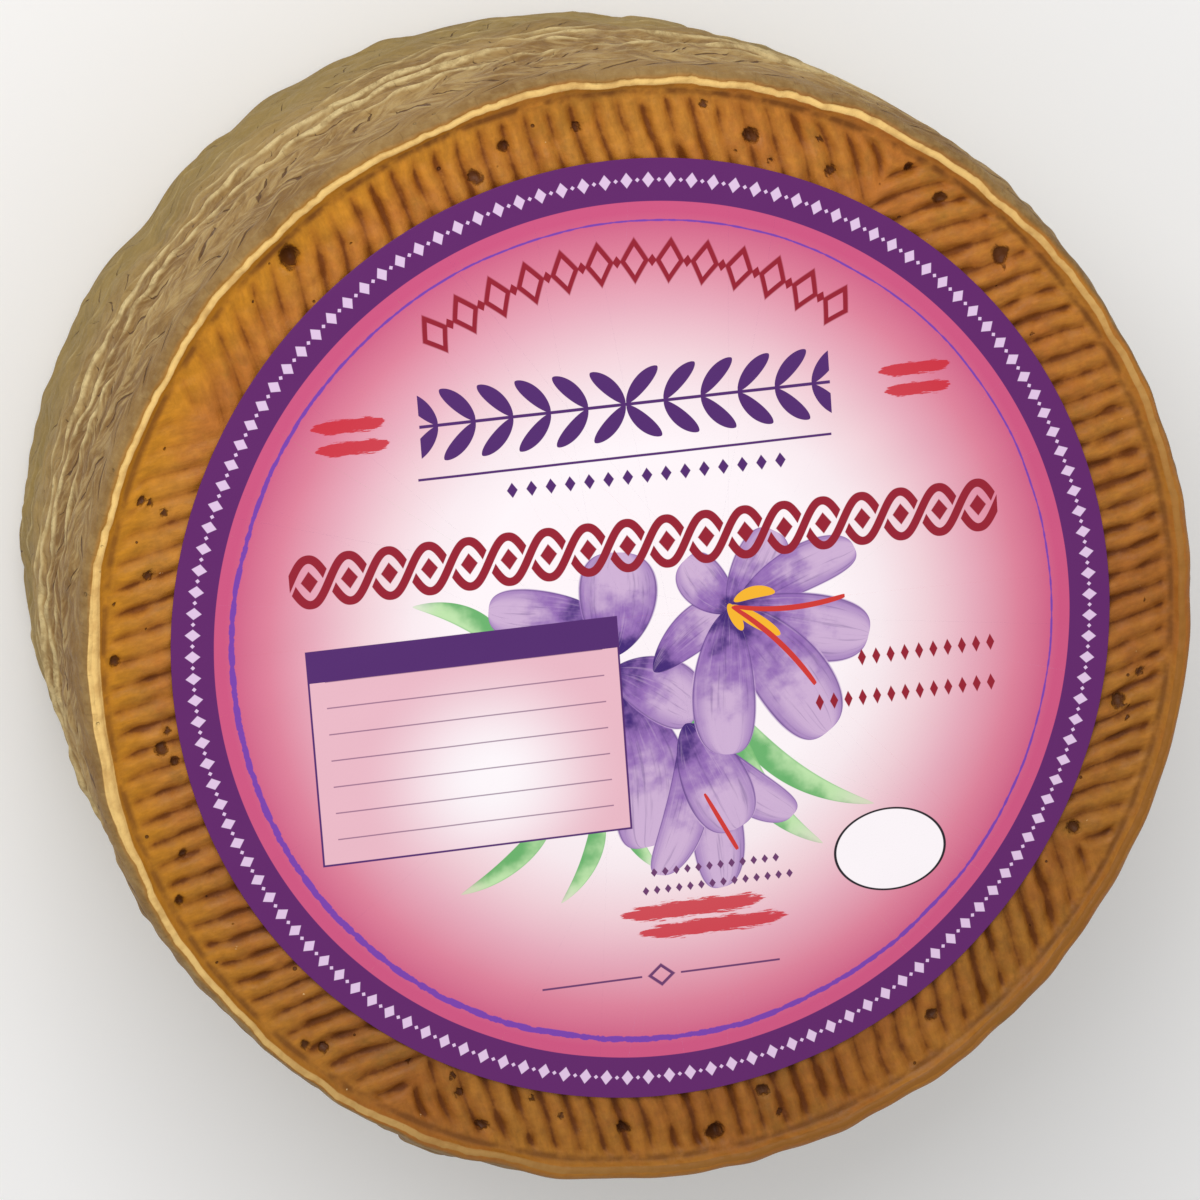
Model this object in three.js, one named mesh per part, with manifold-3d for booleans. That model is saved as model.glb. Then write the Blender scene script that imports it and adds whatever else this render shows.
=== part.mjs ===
// A pressed sheep's-milk cheese wheel with a round paper label glued to its upper face.
//
// Units are millimetres and +Z is up. The origin is the middle of the lower face, on the plane that the
// wheel rests on. +X is the reading direction of the label, and +Y is the label's top.
//
// The wheel is one solid of cheese. The press leaves a thin raised lip round each face, and inside the lip
// a field of parallel ridges in four quarters, each a quarter turn from the next, so that the ridges of two
// neighbours meet in chevrons along the diagonals. The side swells a little between the two lips.

import * as THREE from "three";
import { mergeGeometries, mergeVertices } from "three/addons/utils/BufferGeometryUtils.js";
import Module from "manifold-3d";

// Cheese
const HEIGHT = 95;
const RIM_RADIUS = 98; // outer edge of each lip's flat top
const RIM_WIDTH = 2.2; // of that flat top
const LIP_HEIGHT = 1.6; // from the ridge tops up to the top of the lip
const COVE_WIDTH = 2.4; // the hollow curve from the lip's inner edge down to the ridge tops
const SHOULDER_DROP = 3.2; // height of the rounded corner between lip and side
const SHOULDER_OUT = 1.4; // how far that corner stands out beyond the lip
const SIDE_BULGE = 2.2; // how far the middle of the side stands out beyond the shoulder

// Ridged faces
const RIDGE_PITCH = 4.0;
const GROOVE_WIDTH = 1.7;
const GROOVE_DEPTH = 1.1;
const GROOVE_END_RADIUS = 92; // the grooves run out here, short of the cove
const SEAM_HALF_WIDTH = 0.9; // plain rib left along each diagonal
const SHORTEST_GROOVE = 6;
const RIDGE_TURN = THREE.MathUtils.degToRad(12.9); // from the label's reading direction to the first quarter

// Label
const LABEL_RADIUS = 83.6;
const LABEL_THICKNESS = 0.3;
const GLUE_GAP = 0.3; // between the ridge tops and the paper

// Facets
const ROUND_SEGMENTS = 96;
const CURVE_STEPS = 4; // in the cove and in the shoulder
const SIDE_STEPS = 10; // an even number, so that one ring lies at mid-height

const WELD_DISTANCE = 1e-4;
const QUARTER_TURN = Math.PI / 2;
const RIDGE_TOP = HEIGHT - LIP_HEIGHT; // height of the upper face's ridge tops

const rindMaterial = new THREE.MeshStandardMaterial({ color: 0xb88438, roughness: 0.62, metalness: 0 });
const paperMaterial = new THREE.MeshStandardMaterial({ color: 0xe6a8bd, roughness: 0.45, metalness: 0 });

const wasm = await Module();
wasm.setup();

// A closed geometry as a manifold-3d solid.
function toSolid(geometry) {
  const bare = geometry.clone();
  bare.deleteAttribute("normal");
  bare.deleteAttribute("uv");
  const merged = mergeVertices(bare, WELD_DISTANCE);
  return new wasm.Manifold(
    new wasm.Mesh({
      numProp: 3,
      vertProperties: merged.attributes.position.array,
      triVerts: new Uint32Array(merged.index.array),
    }),
  );
}

// A manifold-3d solid as a geometry.
function toGeometry(solid) {
  const mesh = solid.getMesh();
  const geometry = new THREE.BufferGeometry();
  geometry.setAttribute("position", new THREE.BufferAttribute(mesh.vertProperties, 3));
  geometry.setIndex(new THREE.BufferAttribute(mesh.triVerts, 1));
  geometry.computeVertexNormals();
  return geometry;
}

// A profile of [radius, height] points, turned about +Z.
function turned(profile) {
  const points = profile.map(([radius, height]) => new THREE.Vector2(radius, height));
  return new THREE.LatheGeometry(points, ROUND_SEGMENTS).rotateX(QUARTER_TURN);
}

// The lower half's outline from the axis to just below the middle of the side:
// ridge plane, cove, flat lip, rounded shoulder, swelling side.
function lowerOutline() {
  const rimInner = RIM_RADIUS - RIM_WIDTH;
  const shoulder = RIM_RADIUS + SHOULDER_OUT;
  const outline = [[0, LIP_HEIGHT]];
  for (let i = 0; i <= CURVE_STEPS; i++) {
    const angle = (i / CURVE_STEPS) * QUARTER_TURN;
    const radius = rimInner - COVE_WIDTH * (1 - Math.sin(angle));
    outline.push([radius, LIP_HEIGHT * Math.cos(angle)]);
  }
  for (let i = 0; i <= CURVE_STEPS; i++) {
    const angle = (i / CURVE_STEPS) * QUARTER_TURN;
    outline.push([RIM_RADIUS + SHOULDER_OUT * Math.sin(angle), SHOULDER_DROP * (1 - Math.cos(angle))]);
  }
  const sideSpan = HEIGHT - 2 * SHOULDER_DROP;
  for (let i = 1; i < SIDE_STEPS / 2; i++) {
    const share = i / SIDE_STEPS;
    outline.push([shoulder + SIDE_BULGE * Math.sin(Math.PI * share), SHOULDER_DROP + sideSpan * share]);
  }
  return outline;
}

// The whole wheel before its grooves are cut: the lower outline, the widest ring, and the same outline
// upside down.
function wheelBlank() {
  const lower = lowerOutline();
  const widest = [RIM_RADIUS + SHOULDER_OUT + SIDE_BULGE, HEIGHT / 2];
  const upper = lower.map(([radius, height]) => [radius, HEIGHT - height]).reverse();
  return turned([...lower, widest, ...upper]);
}

// One V-shaped groove cutter, running along +X from startX to endX at the given Y, its point down
// GROOVE_DEPTH below z = 0. It stands as far above z = 0, so that the cut is clean.
function grooveCutter(y, startX, endX) {
  const section = new THREE.Shape();
  section.moveTo(0, -GROOVE_DEPTH);
  section.lineTo(GROOVE_WIDTH, GROOVE_DEPTH);
  section.lineTo(-GROOVE_WIDTH, GROOVE_DEPTH);
  section.closePath();
  const cutter = new THREE.ExtrudeGeometry(section, { depth: endX - startX, bevelEnabled: false });
  cutter.rotateX(QUARTER_TURN); // section's height to +Z, length to -Y
  cutter.rotateZ(QUARTER_TURN); // length to +X
  return cutter.translate(startX, y, 0);
}

// All the grooves of one face, in the plane z = 0: parallel ones in each quarter, from its diagonals outwards.
function faceCutters() {
  const quarter = [];
  for (let y = RIDGE_PITCH / 2; y < GROOVE_END_RADIUS; y += RIDGE_PITCH) {
    const startX = y + GROOVE_WIDTH / 2 + SEAM_HALF_WIDTH;
    const endX = Math.sqrt(GROOVE_END_RADIUS ** 2 - y ** 2);
    if (endX - startX < SHORTEST_GROOVE) break;
    quarter.push(grooveCutter(y, startX, endX), grooveCutter(-y, startX, endX));
  }
  const quarters = [0, 1, 2, 3].map((turns) =>
    mergeGeometries(quarter).rotateZ(RIDGE_TURN + turns * QUARTER_TURN),
  );
  return mergeGeometries(quarters);
}

function makeCheese() {
  const upperGrooves = faceCutters().translate(0, 0, RIDGE_TOP);
  const lowerGrooves = faceCutters().rotateX(Math.PI).translate(0, 0, LIP_HEIGHT);
  const solid = toSolid(wheelBlank()).subtract(toSolid(upperGrooves)).subtract(toSolid(lowerGrooves));
  const cheese = new THREE.Mesh(toGeometry(solid), rindMaterial);
  cheese.name = "cheese_wheel";
  return cheese;
}

function makeLabel() {
  const disc = turned([
    [0, 0],
    [LABEL_RADIUS, 0],
    [LABEL_RADIUS, LABEL_THICKNESS],
    [0, LABEL_THICKNESS],
  ]);
  const label = new THREE.Mesh(disc, paperMaterial);
  label.name = "paper_label";
  label.position.z = RIDGE_TOP + GLUE_GAP;
  return label;
}

const wheel = new THREE.Group();
wheel.add(makeCheese(), makeLabel());

export default wheel;
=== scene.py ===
from math import cos, pi, radians, sin, sqrt

import bpy
import numpy as np
from mathutils import Matrix, Vector


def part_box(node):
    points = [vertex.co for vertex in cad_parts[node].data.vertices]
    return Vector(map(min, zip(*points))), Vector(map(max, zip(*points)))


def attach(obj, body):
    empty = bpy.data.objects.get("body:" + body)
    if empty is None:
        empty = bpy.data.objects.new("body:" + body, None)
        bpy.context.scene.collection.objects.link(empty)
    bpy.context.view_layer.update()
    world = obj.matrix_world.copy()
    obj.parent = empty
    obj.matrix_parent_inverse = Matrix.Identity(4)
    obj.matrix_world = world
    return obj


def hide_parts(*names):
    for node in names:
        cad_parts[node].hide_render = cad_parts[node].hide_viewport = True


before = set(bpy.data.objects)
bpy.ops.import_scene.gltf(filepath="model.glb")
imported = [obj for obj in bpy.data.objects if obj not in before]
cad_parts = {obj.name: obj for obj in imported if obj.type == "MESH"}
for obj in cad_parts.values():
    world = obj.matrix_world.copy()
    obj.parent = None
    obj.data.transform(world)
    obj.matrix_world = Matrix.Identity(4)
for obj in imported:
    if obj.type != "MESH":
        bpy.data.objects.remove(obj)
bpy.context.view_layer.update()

# Blender works in metres, and the shapes below are worked out in millimetres. The wheel stands on z = 0,
# its axis is the Z axis, and its label reads along +X.
mm = 0.001
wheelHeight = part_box("cheese_wheel")[1].z / mm
labelLow, labelHigh = (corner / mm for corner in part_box("paper_label"))
print("frame: the wheel is %.1f mm high, the label %.1f mm across" % (wheelHeight, 2 * labelHigh.x))


def smooth(low, high, x):  # 0 below low, 1 above high, an S between them
    t = np.clip((x - low) / (high - low), 0, 1)
    return t * t * (3 - 2 * t)


def hump(x, centre, width):  # a bell of height 1
    return np.exp(-((x - centre) / width) ** 2)


def ripple(seed, count, shortest, longest, *coords):
    # a sum of cosine waves in random directions, about unit size, with wavelengths from shortest to longest
    rng = np.random.default_rng(seed)
    total = 0
    for _ in range(count):
        way = rng.normal(size=len(coords))
        way /= np.linalg.norm(way)
        length = shortest * (longest / shortest) ** rng.random()
        along = sum(w * c for w, c in zip(way, coords))
        total = total + np.cos(2 * pi * (along / length + rng.random()))
    return total / sqrt(count / 2)


# The cheese is one closed surface, from the middle of the upper face, over the side, to the middle of the
# lower one. Marks on its corners tell the material what lies where.
marks = ("groove", "hole", "cove", "lip", "side", "cord", "row", "shift", "along", "across")
cheese = dict(
    ridgeTurn=12.9,  # degrees, from the label's reading direction to the first quarter's ridges
    ridgesPerQuarter=33,
    linesPerRidge=6,  # an even number, so that one line of each quarter starts on the axis
    faceRadius=94.9,  # where the ridged face ends and the cove begins
    faceDrop=1.5,  # from the lip's top down to the ridge tops
    grooveDepth=1.45,
    ridgeWander=0.35,
    faintTurn=148,  # degrees round, where the ridges were pressed least
    labelledRadius=81.5,  # the label hides the face inside this
    faceRows=20,
    lowerRows=9,
    lip=[(0.45, 1.47), (0.9, 1.2), (1.25, 0.7), (1.6, 0.22), (1.95, 0.03), (2.4, 0.03), (2.9, 0.2),
         (3.4, 0.6), (3.9, 1.25), (4.35, 2.5)],  # outside faceRadius, below the wheel's top
    sideRadius=99.3,  # where the side meets the shoulder
    sideSwell=1.15,
    dents=[(136, 4.5, 2.0, 35), (123.5, 4, 0.8, 40), (100, 8, 0.5, 40), (88, 5, 0.5, 40), (199, 13, 2.3, 5),
           (225, 17, 1.05, -30), (50, 12, -1.2, 0), (48, 7, -0.5, -30), (22, 14, 0.35, -30),
           (342, 10, 0.4, -30)],  # degrees round, half width in degrees, depth, how far down it starts
    band=7.2,  # the smooth band below each lip
    plaitRows=9,
    rowSteps=[0.0, 0.07, 0.15, 0.27, 0.45, 0.63, 0.8, 0.92],  # the grid's rows within a row of the plait
    lowSteps=[0.0, 0.11, 0.25, 0.45, 0.68, 0.88],  # and in its lower rows
    strands=88,  # round the wheel, in each row of the plait
    strandLean=1.1,  # mm along the row for each mm down it
    strandDepth=0.5,
    cordHeight=[0.1, 0.35, 0.6, 1.05, 1.0, 0.5, 0.4, 0.4, 0.35, 0.2],
    cordWidth=0.095,  # of a row
    cordWave=0.85,
    cordWaves=60,  # round the wheel
    flapTurn=240,  # degrees
    widest=101.55,
)

# holes that show beside the label: degrees round, mm from the middle, radius, depth
faceHoles = [
    (128, 92.6, 1.7, 2.6), (106, 86.4, 1.2, 1.6), (102, 89.7, 1.0, 1.6), (74, 89.1, 1.3, 1.8),
    (51, 91.0, 1.2, 1.8), (42, 90.1, 1.6, 1.5), (64, 86.5, 1.0, 1.3), (56, 93.0, 0.8, 1.3),
    (203.5, 93.2, 1.0, 1.6), (176, 93.2, 1.0, 1.3), (225, 93.2, 0.9, 1.2), (247, 91.9, 1.1, 1.6),
    (199, 89.2, 0.8, 1.2), (263, 89.7, 1.1, 1.6), (273.5, 92.0, 1.6, 2.2), (280, 86.7, 1.1, 1.5),
    (345.5, 87.3, 1.3, 1.6), (349, 90.3, 0.9, 1.2), (329, 87.3, 1.2, 1.5), (302, 88.5, 1.1, 1.4),
    (158.5, 91.8, 0.9, 1.2), (166.5, 88.8, 0.9, 1.2), (159, 87.4, 0.8, 1.1),
    (186.6, 87.0, 1.1, 1.3), (188.4, 85.2, 0.9, 1.3), (184.6, 85.6, 0.8, 1.0),
]


def surfaceRows(x, y, z, **given):  # rows of the surface, with every mark that isn't given at 0
    return dict(x=x, y=y, z=z, **{mark: given.get(mark, 0) + np.zeros_like(x) for mark in marks})


def turnFrom(turn, place):  # degrees from a place round the wheel, -180 to 180
    return (np.degrees(turn) - place + 180) % 360 - 180


def scatterHoles(seed, count, inner, outer):
    # small holes strewn over a ring of a face, in the same form as faceHoles
    rng = np.random.default_rng(seed)
    turn = rng.uniform(0, 360, count)
    out = np.sqrt(rng.uniform(inner ** 2, outer ** 2, count))
    size = 0.25 + rng.uniform(0.3, 0.85, count) ** 2
    return list(zip(turn, out, size, size * 1.1))


def holeField(x, y, holes):
    # how deep the holes go at x, y, and a cone that is 1 in the middle of a hole and 0 at twice its radius
    depth, cone = np.zeros_like(x), np.zeros_like(x)
    for turn, out, size, deep in holes:
        a = radians(turn)
        away = np.hypot(x - out * cos(a), y - out * sin(a)) / size
        depth = np.maximum(depth, deep * (1 - smooth(0.45, 1.25, away)))
        cone = np.maximum(cone, np.clip(1 - away / 2, 0, 1))
    return depth, cone


def quarterLines():
    # the lines along one quarter's ridges, as offsets across them; each quarter's turn; and the turns at
    # which the lines meet the edge of the face
    lines = cheese["ridgesPerQuarter"] * cheese["linesPerRidge"]
    widest = cheese["faceRadius"] / sqrt(2)
    across = np.linspace(-widest, widest, lines + 1)
    quarter = np.radians(cheese["ridgeTurn"]) + np.arange(4) * pi / 2
    return across, quarter, quarter[:, None] + np.arcsin(across / cheese["faceRadius"])


def faceRings(across, upper):
    # the radii of a face's rows on each line, from the diagonal where it starts to the edge of the face
    edge = cheese["faceRadius"]
    start = np.abs(across) * sqrt(2)
    if not upper:
        share = 1 - (1 - np.linspace(0, 1, cheese["lowerRows"] + 1)) ** 1.4
        return start + (edge - start) * share[:, None]
    seen = np.maximum(cheese["labelledRadius"], start + 0.12 * (edge - start))
    share = np.linspace(0, 1, cheese["faceRows"] + 1)
    return np.concatenate([start[None], seen + (edge - seen) * share[:, None]])


def buildFace(across, quarter, upper):
    # One ridged face on the grid [row, quarter, line], with its rows from the middle outwards. Its ridges
    # are arches that meet in grooves: height = -depth * (1 - |sin(pi * ridge)| ^ 0.8). Each groove has its
    # own depth, and is fainter near the edge of the face, where two quarters meet, and round one place.
    c = cheese
    ring = faceRings(across, upper)[:, None, :] * np.ones((1, 4, 1))
    aside = across * np.ones_like(ring)
    along = np.sqrt(np.maximum(ring ** 2 - aside ** 2, 0))
    turn = quarter[None, :, None] + np.arctan2(aside, along)
    x, y = ring * np.cos(turn), ring * np.sin(turn)
    inset = c["faceRadius"] - ring
    if upper:
        holes = faceHoles + scatterHoles(21, 26, 83, 94)
        fade = 1.3 + 4.6 * (0.5 + 0.5 * np.cos(turn - radians(158))) ** 3
    else:
        holes = scatterHoles(22, 70, 4, 92) + [(140, 40, 1.6, 2.0), (300, 66, 1.8, 2.2), (60, 75, 1.4, 1.8)]
        fade = 2.5 + 2.0 * (0.5 + 0.5 * np.cos(turn - radians(30)))
    fade = fade * (1 + 0.25 * ripple(14, 9, 14, 60, x, y))

    pitch = 2 * across.max() / c["ridgesPerQuarter"]
    ridge = (aside + 0.11 * ripple(17, 16, 4, 14, x, y)) / pitch + 0.5
    each = np.random.default_rng(18).uniform(0.75, 1.15, (4, c["ridgesPerQuarter"] + 2))
    own = each[np.arange(4)[None, :, None], np.round(ridge).astype(int) + c["ridgesPerQuarter"] // 2]
    arch = 1 - np.abs(np.sin(pi * ridge)) ** 0.8
    reach = smooth(0, 0.8, inset) * (0.3 + 0.7 * smooth(0, 1, inset / fade))
    own = own * (0.35 + 0.65 * smooth(0, 2.5, along - np.abs(aside)))
    own = own * np.clip(1 + 0.2 * ripple(11, 14, 4, 24, x, y), 0.4, 1.3)
    own = own * (1 - 0.5 * hump(turnFrom(turn, c["faintTurn"]), 0, 20))
    groove = arch * own * reach
    swell = 0.14 * ripple(12, 12, 9, 40, x, y) + 0.1 * ripple(13, 12, 2.5, 6, x, y)
    hole, cone = holeField(x, y, holes)
    height = swell * smooth(0, 3, inset) - c["grooveDepth"] * groove - hole
    wander = c["ridgeWander"] * smooth(0, 6, inset)
    return surfaceRows(
        x + wander * ripple(15, 8, 22, 60, x, y), y + wander * ripple(16, 8, 22, 60, x, y),
        wheelHeight - c["faceDrop"] + height if upper else c["faceDrop"] - height,
        groove=arch * own * (0.5 * smooth(0.4, 1.8, inset) + 0.5 * reach), hole=cone,
        cove=1 - smooth(0, 0.9, inset), along=along, across=np.abs(aside),
    )


def dented(turn, drop):
    # how far in from its round shape the side lies: the sum of depth * bell of the turn, each growing from
    # its own start down
    total = 0
    for where, width, deep, start in cheese["dents"]:
        total = total + deep * hump(turnFrom(turn, where), 0, width) * smooth(start, start + 35, drop)
    return total


def buildLip(turn, upper):
    # the cove, the raised lip and the rounded shoulder, rows from the face outwards and down
    c = cheese
    out, drop = (np.array(v)[:, None, None] for v in zip(*c["lip"]))
    turn = turn * np.ones_like(out)
    ux, uy = np.cos(turn), np.sin(turn)
    x, y = 97 * ux, 97 * uy
    seed = 31 if upper else 41
    crest = hump(out, 2.15, 0.7)
    wobble = 0.22 * ripple(seed, 10, 8, 45, x, y)
    nick = 0.13 * ripple(seed + 1, 14, 2.0, 6, x, y)
    pressed = dented(turn, 0 if upper else wheelHeight) + (0 if upper else 0.35)
    radius = c["faceRadius"] + out + (wobble + nick * crest) * smooth(0, 2, out)
    radius = radius - pressed * smooth(2.2 if upper else -1, 4.4, out)
    low = np.maximum(0, 0.12 + nick + 0.14 * ripple(seed + 2, 10, 10, 50, x, y))
    # how far the face's colour goes over the shoulder, and how much wider the lip's pale top is, partly wear
    # and partly painted highlight
    reach = 1.3 * smooth(-0.2, 0.7, np.cos(turn + radians(45))) if upper else -0.9
    worn = 0.6 * hump(np.cos(turn - radians(182)), 1, 0.025)
    drop = np.maximum(drop + low * crest, 0)
    return surfaceRows(
        radius * ux, radius * uy, wheelHeight - drop if upper else drop,
        lip=smooth(1.1 - worn, 1.8 - worn, out) * (1 - smooth(2.2 + worn, 3.0 + worn, out)),
        side=smooth(2.3 + reach, 3.3 + reach, out), cove=1 - smooth(0.4, 1.1, out),
        row=-0.95 if upper else c["plaitRows"] + 0.95,
    )


def cordLine(number, x, y, turn):
    # how far the cord with this number lies above its own level, round the wheel: a wave that drifts
    bend = 0.9 * ripple(51, 6, 30, 90, x, y, 7 * number)
    drift = 0.6 * ripple(52, 8, 16, 50, x, y, 7 * number)
    return cheese["cordWave"] * (np.sin(cheese["cordWaves"] * turn + 0.5 * number + bend) + drift)


def buildSide(turn):
    # The side. Its rows are those of the plait that the mould's woven band pressed in: each lies between two
    # raised wavy cords, and its strands lean one way in one row and the other way in the next.
    # radius = shoulder + swell * sin(pi * drop / height) ^ 0.8 + strands + cords + lumps - dents
    c = cheese
    bandEnd = wheelHeight - c["band"]
    tall = (bandEnd - c["band"]) / c["plaitRows"]
    shoulder = c["lip"][-1][1]
    half = (c["band"] + shoulder) / 2
    rows = [(half, -1, 0.5)]
    for row in range(c["plaitRows"]):
        steps = c["rowSteps"] if row < c["plaitRows"] / 2 else c["lowSteps"]
        rows += [(c["band"] + (row + step) * tall, row, step) for step in steps]
    rows += [(bandEnd, c["plaitRows"], 0), (wheelHeight - half, c["plaitRows"], 0.5)]
    drop, row, within = (np.array(v, float)[:, None, None] for v in zip(*rows))
    turn = turn * np.ones_like(drop)
    ux, uy = np.cos(turn), np.sin(turn)
    x, y = 100 * ux, 100 * uy

    plait = smooth(shoulder, c["band"], drop) * (1 - smooth(bandEnd, wheelHeight - shoulder, drop))
    wave = (1 - within) * cordLine(row, x, y, turn) + within * cordLine(row + 1, x, y, turn)
    lean = np.where(row % 2 == 0, 1.0, -1.0)
    inside = ((row >= 0) & (row < c["plaitRows"])) * 1.0
    shift = 0.22 * ripple(53, 8, 20, 70, x, y, 4 * drop)
    strand = c["strands"] / (2 * pi) * (turn - lean * within * c["strandLean"] * tall / 100)
    strand = strand + 0.37 * row + shift
    arch = np.abs(np.sin(pi * strand)) ** 0.6 - 0.7
    uneven = 1 + 0.35 * ripple(54, 10, 12, 40, x, y, drop)
    high = np.array([0] + c["cordHeight"] + [0])
    number = row.astype(int) + 1
    wide = c["cordWidth"]
    cord = high[number] * hump(within, 0, wide) + high[number + 1] * hump(within, 1, wide)
    broken = 0.85 + 0.25 * ripple(55, 12, 12, 50, x, y, 2.5 * drop)
    broken = broken + 0.13 * ripple(58, 14, 3, 7, x, y, drop)
    cord = cord * np.clip(broken, 0.1, 1.3) * plait
    under = hump(within, 0.27, 0.09) * high[number] * inside
    lumps = (0.22 + 0.2 * smooth(40, 75, drop)) * ripple(56, 10, 14, 34, x, y, 1.4 * drop)
    lumps = lumps + 0.16 * ripple(57, 14, 4, 9, x, y, drop)
    radius = c["sideRadius"] + c["sideSwell"] * np.sin(pi * drop / wheelHeight) ** 0.8 + lumps * plait
    strands = c["strandDepth"] * arch * np.sin(pi * within) * inside * uneven
    radius = radius + strands * (1 - 0.35 * smooth(42, 70, drop))
    radius = radius + cord - 0.4 * under
    radius = radius - dented(turn, drop) - 0.35 * smooth(55, 92, drop)
    # a torn flap of rind stands out just below the upper lip
    around = turnFrom(turn, c["flapTurn"])
    flap = smooth(-0.3, 0.3, around) * (1 - smooth(1.5, 9, around)) * hump(drop, 8.5, 4.5)
    radius = np.minimum(radius + 1.3 * flap, c["widest"])
    # the cord mark is each cord's height less a share of the hollow under it; the material paints that
    # hollow brown as painted shadow
    return surfaceRows(radius * ux, radius * uy, wheelHeight - drop - wave * plait,
                       side=1, cord=cord - 0.6 * under, row=row + within, shift=shift)


def addObject(name, data):
    item = bpy.data.objects.new(name, data)
    bpy.context.scene.collection.objects.link(item)
    return item


def addPiece(name, grid, place, material, node):
    # A piece from a grid of points with their marks. place numbers the points, and two points with the same
    # number are one corner of the mesh.
    kept, number = np.unique(place, return_inverse=True)
    number = number.reshape(place.shape)
    rows, lines = number.shape[0] - 1, number.shape[-1] - 1
    steps = ((0, 0), (1, 0), (1, 1), (0, 1))
    a, b, c, d = (number[i:rows + i, ..., j:lines + j].ravel() for i, j in steps)
    quads = np.stack([a, b, c, d], -1)
    faces = quads[(a != b) & (b != c) & (c != d) & (d != a)].tolist()
    shut = ((a == b, [0, 2, 3]), (c == d, [0, 1, 2]), (d == a, [0, 1, 2]), (b == c, [0, 1, 3]))
    for cells, rest in shut:  # where one side of a cell has no length, a triangle is left
        faces += quads[cells][:, rest].tolist()

    values = {key: value.ravel()[kept] for key, value in grid.items()}
    corners = np.stack([values.pop(key) for key in "xyz"], -1)
    mesh = bpy.data.meshes.new(name)
    mesh.from_pydata((corners * mm).tolist(), [], faces)
    mesh.polygons.foreach_set("use_smooth", np.ones(len(faces), bool))
    mesh.materials.append(material)
    piece = addObject(name, mesh)
    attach(piece, "root")
    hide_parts(node)
    for mark, value in values.items():
        store = mesh.attributes.new(mark, "FLOAT", "POINT")
        store.data.foreach_set("value", value.astype(np.float32))
    print("%s: %d corners, %d faces" % (name, len(corners), len(faces)))


def buildCheese(material):
    across, quarter, turn = quarterLines()
    upper, lower = buildFace(across, quarter, True), buildFace(across, quarter, False)
    strips = [upper, buildLip(turn, True), buildSide(turn), buildLip(turn, False), lower]
    strips[3:] = [{key: value[::-1] for key, value in strip.items()} for strip in strips[3:]]
    grid = {key: np.concatenate([strip[key] for strip in strips]) for key in upper}
    rows, quarters, lines = grid["x"].shape
    upperEdge, lowerEdge = len(upper["x"]) - 1, rows - len(lower["x"])

    # Which grid points are one corner of the mesh: a quarter's last line is the next quarter's first, the
    # two lines that start at one point of a diagonal share it, the four middle lines share the point on the
    # axis, and the line in a quarter's corner has no length.
    row, q, k = np.meshgrid(np.arange(rows), np.arange(quarters), np.arange(lines), indexing="ij")
    q, k = np.where(k == lines - 1, (q + 1) % 4, q), np.where(k == lines - 1, 0, k)
    starts = (row == 0) | (row == rows - 1)
    middle = (lines - 1) // 2
    q = np.where(starts & (k == middle), 0, q)
    paired = starts & (k > 0) & (k < middle)
    q, k = np.where(paired, (q - 1) % 4, q), np.where(paired, lines - 1 - k, k)
    row = np.where(k == 0, np.clip(row, upperEdge, lowerEdge), row)
    addPiece("cheese", grid, (row * quarters + q) * lines + k, material, "cheese_wheel")


# The label is a thin printed disc that lies on the ridges.
label = dict(
    sides=384,
    rings=30,
    waviness=0.035,
    edge=0.12,  # mm, a flat last ring that keeps the edge crisp
)


def buildLabel(material):
    # a disc of rings, top and bottom: height = thickness + a faint swell where the ridges bear on the paper
    c = label
    radius = labelHigh.x
    rounded = radius - c["edge"] / 4
    inner = np.linspace(0, radius - c["edge"], c["rings"])
    ring = np.concatenate([inner, [rounded, radius, radius, rounded], inner[::-1]])
    top = np.concatenate([inner * 0 + 1, [1, 0.8, 0.2, 0], inner * 0])
    turn = np.linspace(0, 2 * pi, c["sides"], endpoint=False)
    x, y = ring[:, None] * np.cos(turn), ring[:, None] * np.sin(turn)
    swell = c["waviness"] * ripple(61, 12, 9, 40, x, y)
    z = labelLow.z + (labelHigh.z - labelLow.z) * top[:, None] + swell
    rows, sides = x.shape
    row, k = np.meshgrid(np.arange(rows), np.arange(sides + 1) % sides, indexing="ij")
    k = np.where((row == 0) | (row == rows - 1), 0, k)
    addPiece("label", dict(x=x, y=y, z=z), row * sides + k, material, "paper_label")


def paint(red, green, blue):  # a colour as seen on a screen, 0 to 255, as the shader wants it
    light = [v / 255 for v in (red, green, blue)]
    return [v / 12.92 if v <= 0.04045 else ((v + 0.055) / 1.055) ** 2.4 for v in light] + [1]


def put(tree, kind, inputs=None, **settings):
    # a node: each input is linked if it is given a socket, and set if it is given a value
    node = tree.nodes.new("ShaderNode" + kind)
    for name, value in settings.items():
        setattr(node, name, value)
    for key, value in (inputs or {}).items():
        if isinstance(value, bpy.types.NodeSocket):
            tree.links.new(value, node.inputs[key])
        else:
            node.inputs[key].default_value = value
    return node


def calc(tree, operation, *values, clamp=False):
    inputs = dict(enumerate(values))
    return put(tree, "Math", inputs, operation=operation, use_clamp=clamp).outputs[0]


def plus(tree, a, b):
    return calc(tree, "ADD", a, b)


def minus(tree, a, b):
    return calc(tree, "SUBTRACT", a, b)


def times(tree, a, b):
    return calc(tree, "MULTIPLY", a, b)


def divided(tree, a, b):
    return calc(tree, "DIVIDE", a, b)


def timesPlus(tree, a, b, c):  # a times b, plus c
    return calc(tree, "MULTIPLY_ADD", a, b, c)


def absolute(tree, a):
    return calc(tree, "ABSOLUTE", a)


def scaled(tree, value, low, high, start=0.0, end=1.0):  # start at low, end at high, an S curve between
    inputs = {0: value, 1: low, 2: high, 3: start, 4: end}
    return put(tree, "MapRange", inputs, interpolation_type="SMOOTHSTEP").outputs[0]


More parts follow.
